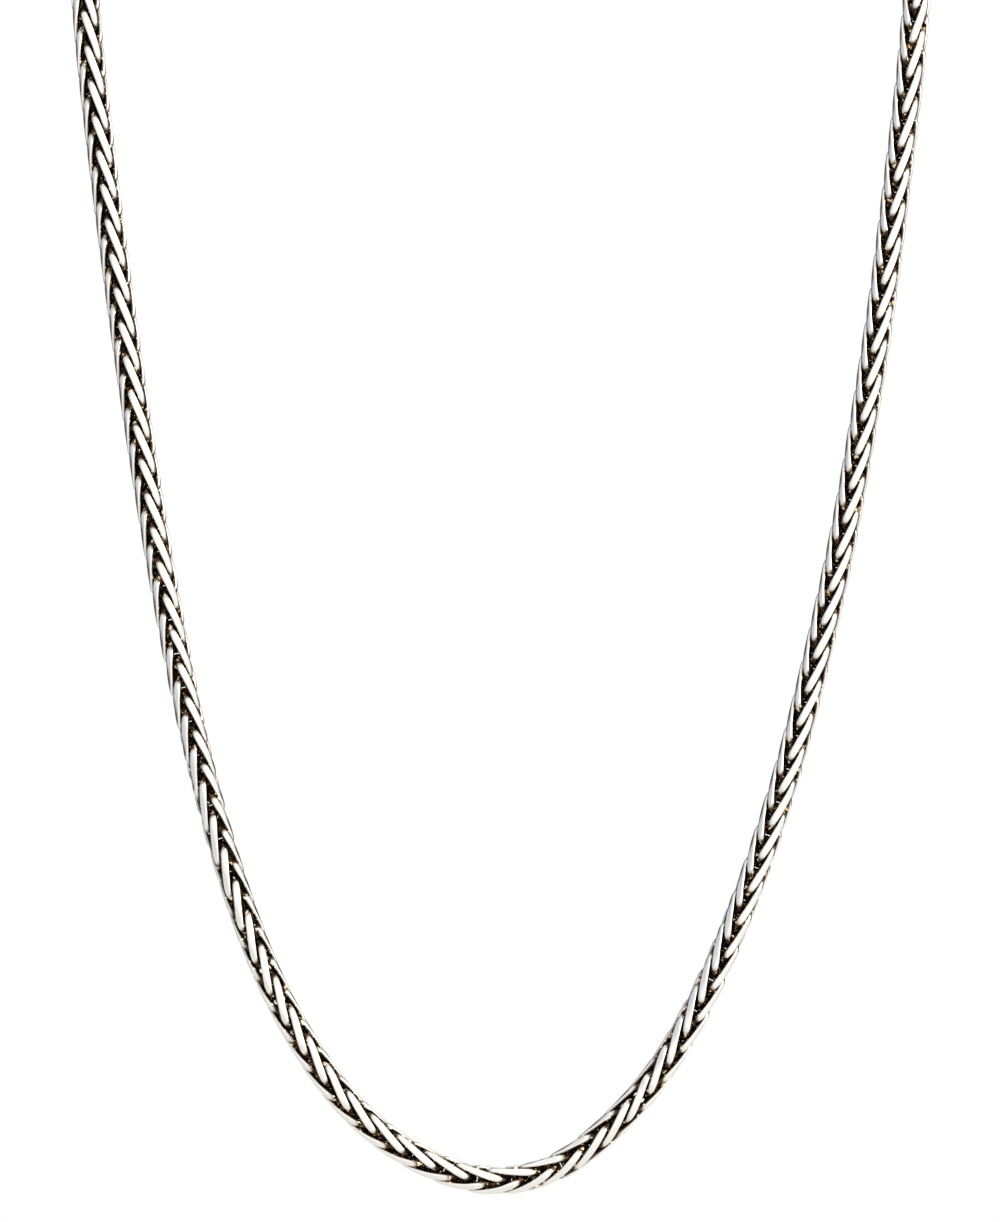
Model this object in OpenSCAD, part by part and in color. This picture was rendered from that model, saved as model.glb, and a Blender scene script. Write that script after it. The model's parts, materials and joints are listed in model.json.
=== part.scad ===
// Wheat chain necklace: a whole loop of woven chain, held at the nape by a plain clasp.
// X runs from the wearer's right to left, Y from front to back and Z up. All sizes are in millimetres.

/* [Chain] */
// Width of the woven chain, across the faces of its body
chain_w = 3; // [2:0.1:4]

/* [End caps] */
// Length of a cap, from the outside of its floor to its mouth
cap_len = 5; // [4:0.5:8]
// Wall of a cap around the chain
cap_wall = 0.5; // [0.4:0.1:0.8]
// Thickness of a cap's floor
cap_floor = 1; // [0.8:0.1:1.4]
// Gap between the chain and the cap around it
cap_fit = 0.15; // [0.1:0.05:0.3]

/* [Eyes and jump rings] */
// Bar of the eyes on the caps and on the clasp
eye_wire = 0.8; // [0.6:0.1:1]
// Width of the hole in each eye
eye_hole = 2; // [1.8:0.1:2.4]
// Wire of the jump rings
ring_wire = 0.8; // [0.6:0.1:1]
// Width of the hole in each jump ring
ring_hole = 3; // [2.6:0.1:3.4]
// Gap where one ring or eye hangs in another
hang_gap = 0.1; // [0.1:0.05:0.2]

/* [Clasp] */
// Height of the clasp, across its body and its claw
clasp_h = 6; // [5:0.5:8]
// Thickness of the clasp's body
clasp_t = 3; // [2:0.2:3.6]
// Bar of the claw
claw_bar = 1.2; // [1:0.1:1.6]

/* [Hidden] */

// The chain's centre line, from the left cap down the front and up to the right cap, with Y counted
// from the middle of the clasp. The front hangs in one upright plane, and both ends run straight into
// their caps.
ROUTE = [
    [-12, 0, 0], [-17, 0, 0], [-26, -1, -0.5], [-34.5, -5.5, -2.5], [-41, -14, -7.5],
    [-45, -25.5, -16], [-46, -37.5, -26.5], [-45.5, -48, -37.5], [-45, -55, -48.5], [-44, -57.5, -60],
    [-42, -57.5, -77], [-39.5, -57.5, -95.5], [-36.5, -57.5, -114.5], [-33, -57.5, -132.5],
    [-29, -57.5, -147.5], [-24.5, -57.5, -159.5], [-19, -57.5, -169], [-13.5, -57.5, -175],
    [-7, -57.5, -179], [-0.5, -57.5, -180.5], [6, -57.5, -179], [12, -57.5, -174.5],
    [17.5, -57.5, -168], [22.5, -57.5, -159], [27, -57.5, -148], [31, -57.5, -135.5],
    [34.5, -57.5, -121.5], [37.5, -57.5, -107], [40.5, -57.5, -88.5], [42.5, -57.5, -73],
    [44, -57.5, -60], [45, -55, -48.5], [45.5, -48, -37.5], [46, -37.5, -26.5], [45, -25.5, -16],
    [41, -14, -7.5], [34.5, -5.5, -2.5], [26, -1, -0.5], [17, 0, 0], [12, 0, 0]
];

// Rings of the swept body in each stretch between two points of the route
RINGS_PER_STRETCH = 2;
// Sides of the swept body
CHAIN_SIDES = 8;
// The direction that one face of the swept body always turns to
SECTION_UP = [0, 1, 0];
$fn = 48;

// Radius at the corners of the swept body
chain_corner_r = chain_w / 2 / cos(180 / CHAIN_SIDES);
// How far the middle of the clasp stands off the neck, and each chain end from the middle of the clasp
seat_y = clasp_t / 2;
chain_end_x = -ROUTE[0].x;

bore_r = chain_corner_r + cap_fit;
cap_r = bore_r + cap_wall;
// Rounding of the outer edge of a cap's floor
cap_edge_r = cap_floor / 2;
cap_floor_x = chain_end_x - cap_fit - cap_floor;

// Centre lines of the eyes and of the jump rings
eye_mid_r = (eye_hole + eye_wire) / 2;
ring_mid_r = (ring_hole + ring_wire) / 2;
// How deep an eye is sunk into the piece that it stands on
eye_sink = eye_wire / 2;

// Places along X on the right side, worked inwards from the cap's floor; the left side mirrors them
cap_eye_x = cap_floor_x + eye_sink - eye_mid_r - eye_wire / 2;
ring_x = cap_eye_x - eye_hole / 2 + hang_gap + ring_wire / 2 - ring_mid_r;
hook_wall_x = ring_x - ring_mid_r + ring_wire / 2 + hang_gap;
clasp_eye_x = hook_wall_x - eye_hole / 2;
clasp_neck_len = clasp_eye_x - eye_mid_r;

// The claw's loop and the round edge of the clasp's body
claw_mid_r = (clasp_h - claw_bar) / 2;
claw_turn_x = hook_wall_x + claw_bar / 2 - claw_mid_r;
body_edge_r = clasp_t / 2;

// One point of a smooth curve through b and c, at t from 0 to 1, with a and d as their neighbours
function curve_point(a, b, c, d, t) =
    (2 * b + (c - a) * t + (2 * a - 5 * b + 4 * c - d) * t * t + (3 * b - a - 3 * c + d) * t * t * t) / 2;

// The smooth curve through the points p, with steps points in each stretch
function smooth_path(p, steps) =
    let (last = len(p) - 1, q = concat([2 * p[0] - p[1]], p, [2 * p[last] - p[last - 1]]))
    [
        for (i = [0:last - 1], k = [0:steps - 1])
            curve_point(q[i], q[i + 1], q[i + 2], q[i + 3], k / steps),
        p[last]
    ];

function unit(v) = v / norm(v);

// The direction of the path p at its point i
function heading(p, i) = unit(p[min(i + 1, len(p) - 1)] - p[max(i - 1, 0)]);

// The corners of the section at point i of the path p
function section(p, i, r, sides) =
    let (t = heading(p, i), side = unit(cross(t, SECTION_UP)), up = cross(side, t))
    [for (k = [0:sides - 1]) let (a = 360 * (k + 0.5) / sides) p[i] + r * (cos(a) * side + sin(a) * up)];

// A closed tube of flat faces along the path p
module swept_tube(p, r, sides) {
    rings = len(p);
    points = [for (i = [0:rings - 1]) each section(p, i, r, sides)];
    walls = [
        for (i = [0:rings - 2], k = [0:sides - 1])
            let (n = (k + 1) % sides)
            [i * sides + k, i * sides + n, (i + 1) * sides + n, (i + 1) * sides + k]
    ];
    first_end = [for (k = [sides - 1:-1:0]) k];
    last_end = [for (k = [0:sides - 1]) (rings - 1) * sides + k];
    polyhedron(points, concat(walls, [first_end, last_end]));
}

// A round bar bent into a ring, with its axis along Z
module round_ring(mid_r, wire) {
    rotate_extrude() translate([mid_r, 0]) circle(d = wire);
}

module chain() {
    color("silver") translate([0, seat_y, 0])
        swept_tube(smooth_path(ROUTE, RINGS_PER_STRETCH), chain_corner_r, CHAIN_SIDES);
}

// The right cap: a cup round the chain's end, with an eye on its floor
module cap_right() {
    color("gainsboro") translate([cap_floor_x, seat_y, 0]) rotate([0, 90, 0]) {
        rotate_extrude() difference() {
            union() {
                translate([0, cap_edge_r]) square([cap_r, cap_len - cap_edge_r]);
                square([cap_r - cap_edge_r, cap_floor]);
                translate([cap_r - cap_edge_r, cap_edge_r]) circle(cap_edge_r);
                translate([cap_r - cap_wall / 2, cap_len]) circle(d = cap_wall);
            }
            translate([0, cap_floor]) square([bore_r, cap_len]);
        }
        translate([0, 0, cap_eye_x - cap_floor_x]) rotate([90, 0, 0]) round_ring(eye_mid_r, eye_wire);
    }
}

module cap_left() {
    mirror([1, 0, 0]) cap_right();
}

module ring_right() {
    color("whitesmoke") translate([ring_x, seat_y, 0]) round_ring(ring_mid_r, ring_wire);
}

module ring_left() {
    mirror([1, 0, 0]) ring_right();
}

// The clasp: a flat round body, an eye on its left and a closed claw on its right
module clasp() {
    color("lightgray") translate([0, seat_y, 0]) rotate([90, 0, 0]) {
        rotate_extrude() {
            translate([0, -body_edge_r]) square([clasp_h / 2 - body_edge_r, clasp_t]);
            intersection() {
                translate([clasp_h / 2 - body_edge_r, 0]) circle(body_edge_r);
                translate([0, -body_edge_r]) square([clasp_h / 2, clasp_t]);
            }
        }
        translate([claw_turn_x, 0, 0]) rotate([0, 0, -90]) rotate_extrude(angle = 180)
            translate([claw_mid_r, 0]) circle(d = claw_bar);
        for (side = [-1, 1]) {
            translate([0, side * claw_mid_r, 0]) rotate([0, 90, 0]) cylinder(d = claw_bar, h = claw_turn_x);
        }
        translate([-clasp_eye_x, 0, 0]) {
            round_ring(eye_mid_r, eye_wire);
            translate([eye_mid_r, 0, 0]) rotate([0, 90, 0]) cylinder(d = eye_wire, h = clasp_neck_len);
        }
    }
}

chain();
cap_left();
cap_right();
ring_left();
ring_right();
clasp();
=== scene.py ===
import json
import math

import bpy
import numpy as np
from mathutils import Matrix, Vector

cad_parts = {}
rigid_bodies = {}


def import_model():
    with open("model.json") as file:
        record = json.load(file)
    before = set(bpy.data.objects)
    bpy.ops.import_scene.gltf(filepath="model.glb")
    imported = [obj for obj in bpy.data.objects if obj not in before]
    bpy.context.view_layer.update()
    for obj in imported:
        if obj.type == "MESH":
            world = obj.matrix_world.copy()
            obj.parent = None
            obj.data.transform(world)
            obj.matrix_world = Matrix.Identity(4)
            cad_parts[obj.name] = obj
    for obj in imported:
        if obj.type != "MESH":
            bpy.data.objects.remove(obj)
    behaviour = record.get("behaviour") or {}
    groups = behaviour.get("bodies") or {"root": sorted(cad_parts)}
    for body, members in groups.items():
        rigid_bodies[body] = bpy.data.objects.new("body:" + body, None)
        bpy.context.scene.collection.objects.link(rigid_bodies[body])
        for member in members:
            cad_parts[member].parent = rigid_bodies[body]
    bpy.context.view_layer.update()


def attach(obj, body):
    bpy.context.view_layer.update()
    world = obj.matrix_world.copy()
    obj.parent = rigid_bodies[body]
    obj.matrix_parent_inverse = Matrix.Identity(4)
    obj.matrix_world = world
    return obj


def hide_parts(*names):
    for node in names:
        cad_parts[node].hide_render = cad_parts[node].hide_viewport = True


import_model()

MM = 0.001

# The chain's route from the left cap down the front and up to the right cap, in millimetres, with Y
# counted from the middle of the clasp
ROUTE_MM = [
    [-12, 0, 0], [-17, 0, 0], [-26, -1, -0.5], [-34.5, -5.5, -2.5], [-41, -14, -7.5],
    [-45, -25.5, -16], [-46, -37.5, -26.5], [-45.5, -48, -37.5], [-45, -55, -48.5], [-44, -57.5, -60],
    [-42, -57.5, -77], [-39.5, -57.5, -95.5], [-36.5, -57.5, -114.5], [-33, -57.5, -132.5],
    [-29, -57.5, -147.5], [-24.5, -57.5, -159.5], [-19, -57.5, -169], [-13.5, -57.5, -175],
    [-7, -57.5, -179], [-0.5, -57.5, -180.5], [6, -57.5, -179], [12, -57.5, -174.5],
    [17.5, -57.5, -168], [22.5, -57.5, -159], [27, -57.5, -148], [31, -57.5, -135.5],
    [34.5, -57.5, -121.5], [37.5, -57.5, -107], [40.5, -57.5, -88.5], [42.5, -57.5, -73],
    [44, -57.5, -60], [45, -55, -48.5], [45.5, -48, -37.5], [46, -37.5, -26.5], [45, -25.5, -16],
    [41, -14, -7.5], [34.5, -5.5, -2.5], [26, -1, -0.5], [17, 0, 0], [12, 0, 0]
]
# How far the middle of the clasp stands off the neck
SEAT_Y = 1.5 * MM
# Points worked out in each stretch between two points of the route
STEPS_PER_STRETCH = 40
# The direction that a twist of 0 degrees turns to
FRONT = np.array([0.0, -1.0, 0.0])

# How far the weave is turned about the chain's own length: the way along the chain in millimetres,
# and the degrees from the front towards the outer side of the loop
TWIST = [
    (0, 25), (149, 25), (158, 22), (174, 9), (190, -12), (204, -48), (214, -57), (227, -66),
    (238, -81), (248, -103), (257, -125), (265, -158), (279, -177), (288, -194), (297, -205), (484, -205),
]
# The weave also wanders a little: by so many degrees, in waves of such a length
TWIST_WANDER = [(2.0, 17 * MM), (2.0, 29 * MM)]
# Points of the chain's middle line over which the twist is evened out, before and after each point
TWIST_EVENED = 30

# Distance from the start of one link to the start of the next. Every other link has the same hand.
LINK_STEP = 1.851 * MM
# Length of a link, between the middles of the wire at its two ends
LINK_LEN = 6.47 * MM
# Distance from the chain's middle to the middle of a link's wire
LINK_REACH = 1.25 * MM
# Height of the round end of a link
LINK_END = 2.3 * MM
# How far a link is turned from its start to its end
LINK_TURN = math.radians(79)
# The direction across the chain in which the flat of a link of each hand lies at half its height, from
# the direction that the twist turns to
HAND_PLACE = {1: math.radians(45), -1: math.radians(135)}
# Half the wire's width, across the link's face and through it
WIRE_HALF_W = 0.40 * MM
WIRE_HALF_T = 0.40 * MM
# How much wider the wire is on the outer side of the link
WIRE_FLARE = 0.03
# The power that shapes the wire's section: 1 is round and less is squarer
WIRE_SQUARE = 0.92
# How much thicker it is where it crosses the chain's middle, and how far from there that ends
CROSSING_FILL = 0.04 * MM
CROSSING_ROOM = 0.7 * MM
# Radius to which the outside of the weave is rolled flat, and where the rolling starts
ROLLED_R = 1.5 * MM
ROLLED_FROM = 1.475 * MM
# Points along each end and each side of a link's wire, and round it
END_POINTS = 22
SIDE_POINTS = 5
LINK_POINTS = 2 * (END_POINTS + SIDE_POINTS)
WIRE_SIDES = 20
# Links on either side that pass close to a link, and the finer points used to measure how close
NEAR_LINKS = 3
FINE_END_POINTS = 80
FINE_SIDE_POINTS = 20
# Keeps a point on the chain's middle line from dividing by nothing
TINY = 1e-9

# Colours of the metal, of the warm reflection painted deep in the weave, and of the shade painted between
# the wires
WHITE_METAL = (0.94, 0.92, 0.885)
HAZY_METAL = (0.86, 0.86, 0.84)
WARM_REFLECTION = (0.86, 0.66, 0.38)
DARK_PAINTED_SHADE = (0.012, 0.010, 0.008)
BROWN_PAINTED_SHADE = (0.09, 0.055, 0.03)
# Shade is painted on the wire where it lies this close to the middle of the next one, in millimetres,
# and none from the second value on
SHADE_ROOM = (0.50, 0.64)
# Shade is painted on it this deep in the weave, as a share of the chain's radius, and none from the
# second value on
SHADE_DEPTH = (0.82, 0.95)
# Span of the noise in which a spot is left without the painted shade and shines as a painted glint
GLINT_PATCH = (0.57, 0.63)
# Fineness of the noises: scratches, blotches in the painted shade, painted glint spots, and haze on the
# fittings
CHAIN_GRAIN = 2500
BLOTCHES = 1400
GLINT_PATCHES = 2100
FITTING_GRAIN = 1800
HAZE = 260
# Depth of the scratches
SCRATCH = 0.02 * MM

# The nodes that keep their solids
FITTINGS = ("cap_left", "cap_right", "ring_left", "ring_right", "clasp")

# Height of the photographed field where the chain's front hangs, and the field's middle
FIELD_H = 0.13093
FIELD_MID = Vector((-0.107 * MM, -56 * MM, -119.46 * MM))
# The camera's distance from there, the side of its sensor in millimetres, and how near and far it sees
CAMERA_DISTANCE = 0.5
SENSOR = 36.0
CAMERA_SPAN = (0.01, 20)

# The one lamp, to the right of the camera and above
KEY_PLACE = Vector((0.55, -0.5, 0.1))
KEY_AIM = Vector((0, -0.05, -0.12))
KEY_SIZE = (0.5, 0.7)
KEY_WATTS = 3
KEY_COLOUR = (1, 0.97, 0.92)

# The colour of the room's light from left to right, as a share of the way across
ROOM_SIDES = [(0.0, (0.54, 0.58, 0.65)), (0.15, (0.68, 0.70, 0.73)), (0.32, (0.96, 0.96, 0.96)),
              (1.0, (0.98, 0.96, 0.92))]
# The direction of the room's dark side, behind the necklace and below it
DARK_SIDE = (0, 0.91, -0.42)
# How far a direction points to the dark side, from and to, and the strength of the light at each
ROOM_DIMMING = (0.045, 0.55, 1.12, 0.12)

FLOOR_Z = -0.30
FLOOR_R = 0.6
FLOOR_SIDES = 96
FLOOR_DARK = (0.80, 0.80, 0.79)
FLOOR_LIGHT = (0.84, 0.84, 0.83)


def unit(v):
    return v / np.linalg.norm(v, axis=-1, keepdims=True)


def smooth_path(points, steps):
    """The smooth curve through the points, with steps points in each stretch."""
    p = np.asarray(points, float)
    q = np.vstack([2 * p[0] - p[1], p, 2 * p[-1] - p[-2]])
    t = (np.arange(steps) / steps)[:, None]
    out = []
    for a, b, c, d in zip(q[:-3], q[1:-2], q[2:-1], q[3:]):
        out.append((2 * b + (c - a) * t + (2 * a - 5 * b + 4 * c - d) * t * t
                    + (3 * b - a - 3 * c + d) * t * t * t) / 2)
    return np.vstack(out + [p[-1:]])


class Rail:
    """The chain's middle line, and the two directions across it that follow the twist."""

    def __init__(self):
        self.points = smooth_path(ROUTE_MM, STEPS_PER_STRETCH) * MM + [0, SEAT_Y, 0]
        steps = np.linalg.norm(np.diff(self.points, axis=0), axis=1)
        self.way = np.concatenate([[0], np.cumsum(steps)])
        self.length = self.way[-1]
        along = unit(np.gradient(self.points, self.way, axis=0))
        outward = unit(np.cross(along, FRONT))
        front = np.cross(outward, along)
        turn = self.twist()[:, None]
        self.across = np.cos(turn) * front + np.sin(turn) * outward
        self.beside = np.cos(turn) * outward - np.sin(turn) * front

    def twist(self):
        """The turn of the weave at each point, in radians."""
        knots = np.array(TWIST, float)
        turn = np.interp(self.way, knots[:, 0] * MM, knots[:, 1])
        for degrees, wave in TWIST_WANDER:
            turn = turn + degrees * np.sin(2 * np.pi * self.way / wave)
        count = 2 * TWIST_EVENED + 1
        padded = np.pad(np.radians(turn), TWIST_EVENED, mode="edge")
        return np.convolve(padded, np.ones(count) / count, mode="valid")

    def place(self, local):
        """Points given as across, beside and along the chain, in the row frame."""
        def at(values):
            return np.stack([np.interp(local[:, 2], self.way, values[:, k]) for k in range(3)], 1)
        return (at(self.points) + local[:, :1] * unit(at(self.across))
                + local[:, 1:2] * unit(at(self.beside)))


def flat_link(end_points, side_points):
    """The middle line of a link before it is turned: distance from the chain's middle, and way along it."""
    phi = np.pi * np.arange(end_points) / end_points
    out = np.cos(phi) * LINK_REACH
    rise = np.sin(phi) * LINK_END
    up = LINK_END + (LINK_LEN - 2 * LINK_END) * np.arange(side_points) / side_points
    level = np.full(side_points, LINK_REACH)
    u = np.concatenate([-out, level, out, -level])
    z = np.concatenate([LINK_END - rise, up, LINK_LEN - LINK_END + rise, LINK_LEN - up])
    return u, z


def link_middle(hand, end_points, side_points):
    """The middle of a link's wire, straight along the chain, and the direction its face turns to."""
    u, z = flat_link(end_points, side_points)
    rate = LINK_TURN / LINK_LEN
    psi = HAND_PLACE[hand] + hand * rate * (z - LINK_LEN / 2)
    radial = np.stack([np.cos(psi), np.sin(psi), 0 * psi], 1)
    face = np.stack([-np.sin(psi), np.cos(psi), 0 * psi], 1)
    return u[:, None] * radial + z[:, None] * [0, 0, 1], face


def signed_power(values, power):
    return np.sign(values) * np.abs(values) ** power


def rolled_flat(points):
    """The points with the outside of the weave pressed in to the rolled radius."""
    r = np.linalg.norm(points[:, :2], axis=1)
    room = ROLLED_R - ROLLED_FROM
    rolled = np.where(r > ROLLED_FROM, ROLLED_FROM + room * np.tanh((r - ROLLED_FROM) / room), r)
    points[:, :2] *= (rolled / np.maximum(r, TINY))[:, None]
    return points


def turned_link(hand):
    """The points round a link's wire, straight along the chain: hand is 1 or -1."""
    middle, face = link_middle(hand, END_POINTS, SIDE_POINTS)
    along = unit(np.roll(middle, -1, 0) - np.roll(middle, 1, 0))
    face = unit(face - (face * along).sum(1, keepdims=True) * along)
    out = np.cross(face, along)
    a = 2 * np.pi * np.arange(WIRE_SIDES) / WIRE_SIDES
    c = signed_power(np.cos(a), WIRE_SQUARE)
    s = signed_power(np.sin(a), WIRE_SQUARE) * (1 + WIRE_FLARE * c)
    off_middle = np.linalg.norm(middle[:, :2], axis=1)
    thick = WIRE_HALF_T + CROSSING_FILL * np.clip(1 - off_middle / CROSSING_ROOM, 0, 1)
    ring = (middle[:, None] + c[None, :, None] * thick[:, None, None] * out[:, None]
            + s[None, :, None] * WIRE_HALF_W * face[:, None])
    return rolled_flat(ring.reshape(-1, 3))


def clearance(hand, points):
    """How far each point of a link is from the middle of the nearest other link's wire."""
    best = np.full(len(points), np.inf)
    for step in range(-NEAR_LINKS, NEAR_LINKS + 1):
        if step:
            other = link_middle(hand * (-1) ** step, FINE_END_POINTS, FINE_SIDE_POINTS)[0]
            other = other + [0, 0, step * LINK_STEP]
            gap = np.linalg.norm(points[:, None] - other[None], axis=2).min(1)
            best = np.minimum(best, gap)
    return best


def link_faces():
    """The faces of one link: a closed tube bent into a closed loop."""
    i = np.repeat(np.arange(LINK_POINTS), WIRE_SIDES)
    k = np.tile(np.arange(WIRE_SIDES), LINK_POINTS)
    i2 = (i + 1) % LINK_POINTS
    k2 = (k + 1) % WIRE_SIDES
    n = WIRE_SIDES
    return np.stack([i * n + k, i * n + k2, i2 * n + k2, i2 * n + k], 1)


def mesh_object(name, points, faces, material):
    """A smooth mesh of these points and four-sided faces."""
    mesh = bpy.data.meshes.new(name)
    mesh.vertices.add(len(points))
    mesh.vertices.foreach_set("co", points.astype(np.float32).ravel())
    mesh.loops.add(faces.size)
    mesh.loops.foreach_set("vertex_index", faces.astype(np.int32).ravel())
    mesh.polygons.add(len(faces))
    mesh.polygons.foreach_set("loop_start", np.arange(0, faces.size, 4, dtype=np.int32))
    mesh.polygons.foreach_set("use_smooth", np.ones(len(faces), bool))
    mesh.update(calc_edges=True)
    mesh.validate()
    mesh.materials.append(material)
    obj = bpy.data.objects.new(name, mesh)
    bpy.context.collection.objects.link(obj)
    return obj


def chain_piece(name, rail, numbers, material):
    """The links of these numbers along the chain, joined in one mesh."""
    hands = [1 if k % 2 == 0 else -1 for k in numbers]
    shapes = {hand: turned_link(hand) for hand in (1, -1)}
    links = [rail.place(shapes[hand] + [0, 0, k * LINK_STEP]) for k, hand in zip(numbers, hands)]
    faces = [link_faces() + n * LINK_POINTS * WIRE_SIDES for n in range(len(links))]
    obj = mesh_object(name, np.vstack(links), np.vstack(faces), material)
    # How deep in the weave and how close to the next wire each point lies, which set where shade and warm
    # reflection are painted
    depth = {hand: np.linalg.norm(shapes[hand][:, :2], axis=1) / ROLLED_R for hand in shapes}
    room = {hand: clearance(hand, shapes[hand]) / MM for hand in shapes}
    for label, values in (("depth", depth), ("room", room)):
        attribute = obj.data.attributes.new(label, "FLOAT", "POINT")
        joined = np.concatenate([values[hand] for hand in hands])
        attribute.data.foreach_set("value", joined.astype(np.float32))
    return obj


def build_chain():
    """All the links, in three pieces that stand in place of the plain tube."""
    rail = Rail()
    material = chain_metal_material()
    count = 1 + int((rail.length - LINK_LEN) / LINK_STEP)
    third = count // 3
    for name, numbers in (("links_left", range(third)), ("links_front", range(third, 2 * third)),
                          ("links_right", range(2 * third, count))):
        piece = chain_piece(name, rail, numbers, material)
        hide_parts("chain")
        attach(piece, "root")


def dress_fittings():
    """The caps, the jump rings and the clasp keep their solids and get their metal."""
    material = fitting_metal_material()
    for obj in bpy.data.objects:
        if obj.type == "MESH" and obj.name.split(".")[0] in FITTINGS:
            obj.data.materials.clear()
            obj.data.materials.append(material)


class Nodes:
    """The shader nodes of a material or of the world."""

    def __init__(self, tree):
        self.tree = tree
        self.tree.nodes.clear()

    def node(self, kind, **inputs):
        """A new node with these values, where an underscore stands for a space in an input's name."""
        node = self.tree.nodes.new(kind)
        for name, value in inputs.items():
            node.inputs[name.replace("_", " ")].default_value = value
        return node

    def join(self, source, output, target, socket):
        self.tree.links.new(source.outputs[output], target.inputs[socket])

    def noise(self, scale, detail=2.0):
        noise = self.node("ShaderNodeTexNoise", Scale=scale, Detail=detail)
        self.join(self.node("ShaderNodeTexCoord"), "Object", noise, "Vector")
        return noise

    def attribute(self, name):
        node = self.node("ShaderNodeAttribute")
        node.attribute_name = name
        return node

    def span(self, source, output, low, high, to_low=0.0, to_high=1.0, kind="SMOOTHSTEP"):
        """The source's value carried from low..high to to_low..to_high."""
        node = self.node("ShaderNodeMapRange", From_Min=low, From_Max=high, To_Min=to_low, To_Max=to_high)
        node.interpolation_type = kind
        self.join(source, output, node, "Value")
        return node

    def calculate(self, operation, a, b):
        """The first outputs of two nodes, put together by a Math operation."""
        node = self.node("ShaderNodeMath")
        node.operation = operation
        self.join(a, 0, node, 0)
        self.join(b, 0, node, 1)
        return node

    def ramp(self, source, output, *stops):
        """A colour ramp with stops of (position, colour)."""
        node = self.node("ShaderNodeValToRGB")
        elements = node.color_ramp.elements
        while len(elements) < len(stops):
            elements.new(0.5)
        for element, (position, colour) in zip(elements, stops):
            element.position = position
            element.color = (*colour, 1)
        self.join(source, output, node, "Fac")
        return node

    def mix(self, factor, a, b):
        """Colour a where the factor is 0 and colour b where it is 1, at the node's third output."""
        node = self.node("ShaderNodeMix")
        node.data_type = "RGBA"
        for source, socket in ((factor, 0), (a, 6), (b, 7)):
            self.join(source, 0, node, socket)
        return node


class Surface(Nodes):
    """A material of one Principled shader."""

    def __init__(self, name):
        self.material = bpy.data.materials.new(name)
        self.material.use_nodes = True
        super().__init__(self.material.node_tree)
        self.shader = self.node("ShaderNodeBsdfPrincipled")
        self.join(self.shader, 0, self.node("ShaderNodeOutputMaterial"), "Surface")

    def scratch(self, grain, strength):
        """Fine scratches that follow a noise."""
        bump = self.node("ShaderNodeBump", Strength=strength, Distance=SCRATCH)
        self.join(grain, "Fac", bump, "Height")
        self.join(bump, "Normal", self.shader, "Normal")


def chain_metal_material():
    """Bright rolled wire, with painted shade deep in the weave and where the wires lie close, painted glint
    spots in that shade, and a painted warm reflection in the depths.
    """
    mat = Surface("chain_metal")
    depth = mat.attribute("depth")
    room = mat.attribute("room")
    grain = mat.noise(CHAIN_GRAIN)
    # Painted glints: noise spots where the painted shade is left off
    glint_spots = mat.span(mat.noise(GLINT_PATCHES), "Fac", *GLINT_PATCH)
    # Left without painted shade: the outside of the weave, away from the next wire
    outside = mat.calculate("MULTIPLY", mat.span(room, "Fac", *SHADE_ROOM),
                            mat.span(depth, "Fac", *SHADE_DEPTH))
    unshaded = mat.calculate("MAXIMUM", outside, glint_spots)
    # The metal turns warm deeper in the weave, a painted warm reflection
    metal = mat.ramp(depth, "Fac", (0.72, WARM_REFLECTION), (0.95, WHITE_METAL))
    # The painted shade, black to brown in blotches
    painted_shade = mat.ramp(mat.noise(BLOTCHES), "Fac", (0.3, DARK_PAINTED_SHADE), (0.75, BROWN_PAINTED_SHADE))
    mat.join(mat.mix(unshaded, painted_shade, metal), 2, mat.shader, "Base Color")
    mat.shader.inputs["Metallic"].default_value = 1.0
    mat.join(mat.span(grain, "Fac", 0.3, 0.7, 0.1, 0.2), 0, mat.shader, "Roughness")
    mat.scratch(grain, 0.12)
    return mat.material


def fitting_metal_material():
    """Polished cast metal with fine scratches and a slight haze."""
    mat = Surface("fitting_metal")
    haze = mat.noise(HAZE)
    colour = mat.ramp(haze, "Fac", (0.3, HAZY_METAL), (0.6, WHITE_METAL))
    mat.join(colour, "Color", mat.shader, "Base Color")
    mat.shader.inputs["Metallic"].default_value = 1.0
    mat.join(mat.span(haze, "Fac", 0.3, 0.7, 0.1, 0.24), 0, mat.shader, "Roughness")
    mat.scratch(mat.noise(FITTING_GRAIN, 4.0), 0.1)
    return mat.material


def floor_material():
    """Pale matt paper, slightly uneven."""
    mat = Surface("floor")
    colour = mat.ramp(mat.noise(60), "Fac", (0.3, FLOOR_DARK), (0.7, FLOOR_LIGHT))
    mat.join(colour, "Color", mat.shader, "Base Color")
    mat.shader.inputs["Roughness"].default_value = 0.7
    return mat.material


def add_camera():
    """The photograph's view: straight from the front, with the field filling the picture's height."""
    data = bpy.data.cameras.new("camera")
    data.sensor_fit = "VERTICAL"
    data.sensor_height = SENSOR
    data.sensor_width = SENSOR
    data.lens = SENSOR * CAMERA_DISTANCE / FIELD_H
    data.clip_start, data.clip_end = CAMERA_SPAN
    camera = bpy.data.objects.new("camera", data)
    camera.location = FIELD_MID - Vector((0, CAMERA_DISTANCE, 0))
    camera.rotation_euler = (math.pi / 2, 0, 0)
    bpy.context.collection.objects.link(camera)
    bpy.context.scene.camera = camera


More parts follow.
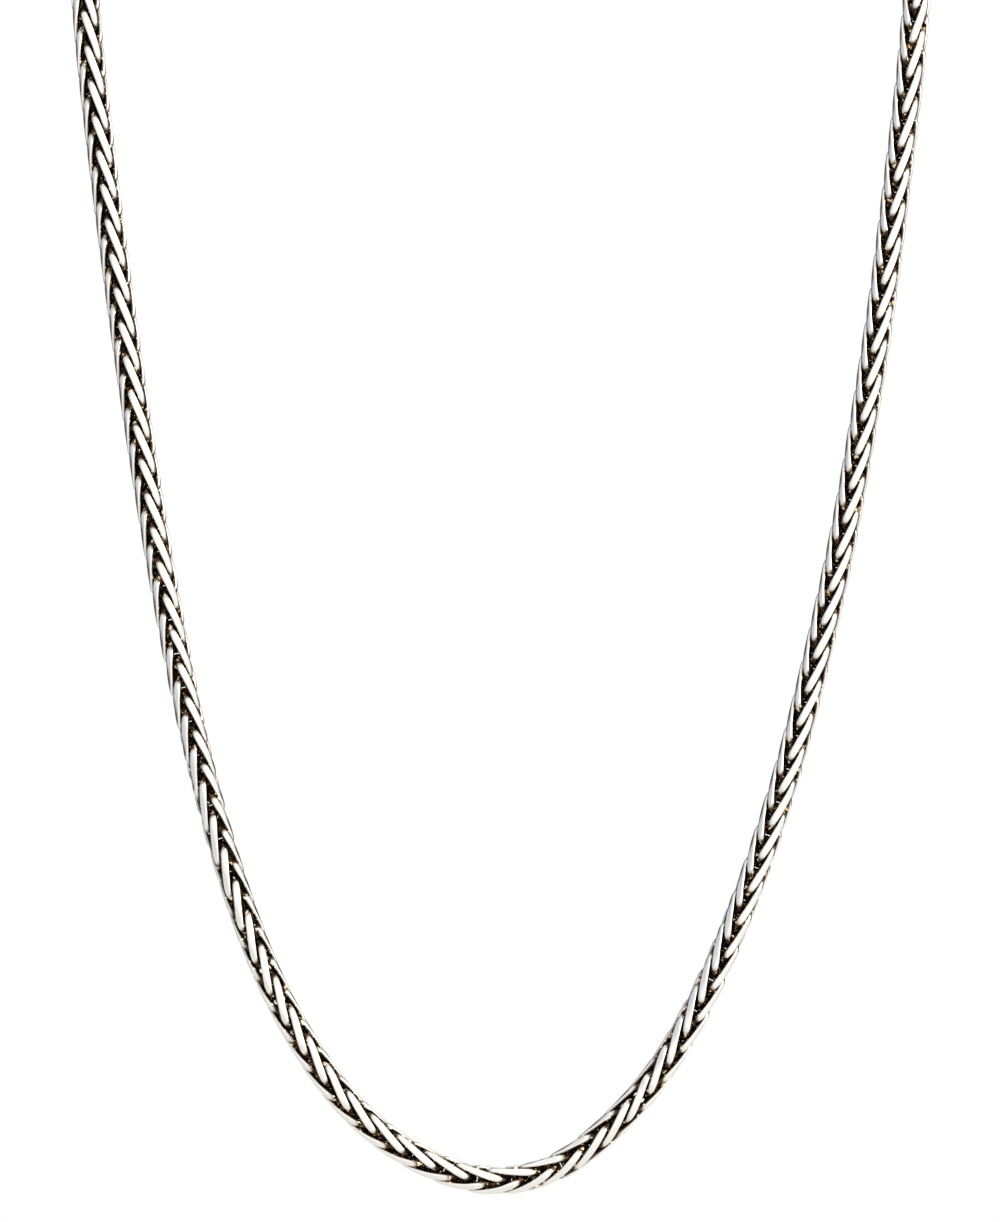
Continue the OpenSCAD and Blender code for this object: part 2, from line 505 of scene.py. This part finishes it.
def add_key_light():
    """A wide soft lamp that the camera doesn't see."""
    data = bpy.data.lights.new("key", "AREA")
    data.shape = "RECTANGLE"
    data.size, data.size_y = KEY_SIZE
    data.energy = KEY_WATTS
    data.color = KEY_COLOUR
    lamp = bpy.data.objects.new("key", data)
    lamp.location = KEY_PLACE
    lamp.rotation_euler = (KEY_AIM - KEY_PLACE).to_track_quat("-Z", "Y").to_euler()
    lamp.visible_camera = False
    bpy.context.collection.objects.link(lamp)


def studio_world():
    """A pale room, white to the right, greyer and cooler to the left and darker on its dark side.

    It lights the metal and shows in it, while the background of the picture is plain white.
    """
    world = bpy.data.worlds.new("studio")
    world.use_nodes = True
    room = Nodes(world.node_tree)
    direction = room.node("ShaderNodeTexCoord")
    axes = room.node("ShaderNodeSeparateXYZ")
    room.join(direction, "Generated", axes, 0)
    across = room.span(axes, "X", -1, 1, kind="LINEAR")
    away = room.node("ShaderNodeVectorMath")
    away.operation = "DOT_PRODUCT"
    away.inputs[1].default_value = DARK_SIDE
    room.join(direction, "Generated", away, 0)
    around = room.node("ShaderNodeBackground")
    room.join(room.ramp(across, 0, *ROOM_SIDES), "Color", around, "Color")
    room.join(room.span(away, "Value", *ROOM_DIMMING), 0, around, "Strength")
    white = room.node("ShaderNodeBackground", Color=(1, 1, 1, 1))
    either = room.node("ShaderNodeMixShader")
    room.join(room.node("ShaderNodeLightPath"), "Is Camera Ray", either, 0)
    room.join(around, 0, either, 1)
    room.join(white, 0, either, 2)
    room.join(either, 0, room.node("ShaderNodeOutputWorld"), "Surface")
    return world


def add_floor():
    """A round sheet below the necklace, which is stage and not part of it."""
    bpy.ops.mesh.primitive_circle_add(vertices=FLOOR_SIDES, radius=FLOOR_R, fill_type="NGON",
                                      location=(0, 0, FLOOR_Z))
    floor = bpy.context.object
    floor.name = "floor"
    floor.data.materials.append(floor_material())


build_chain()
dress_fittings()
add_camera()
add_key_light()
bpy.context.scene.world = studio_world()
bpy.context.scene.view_settings.view_transform = "Standard"
add_floor()
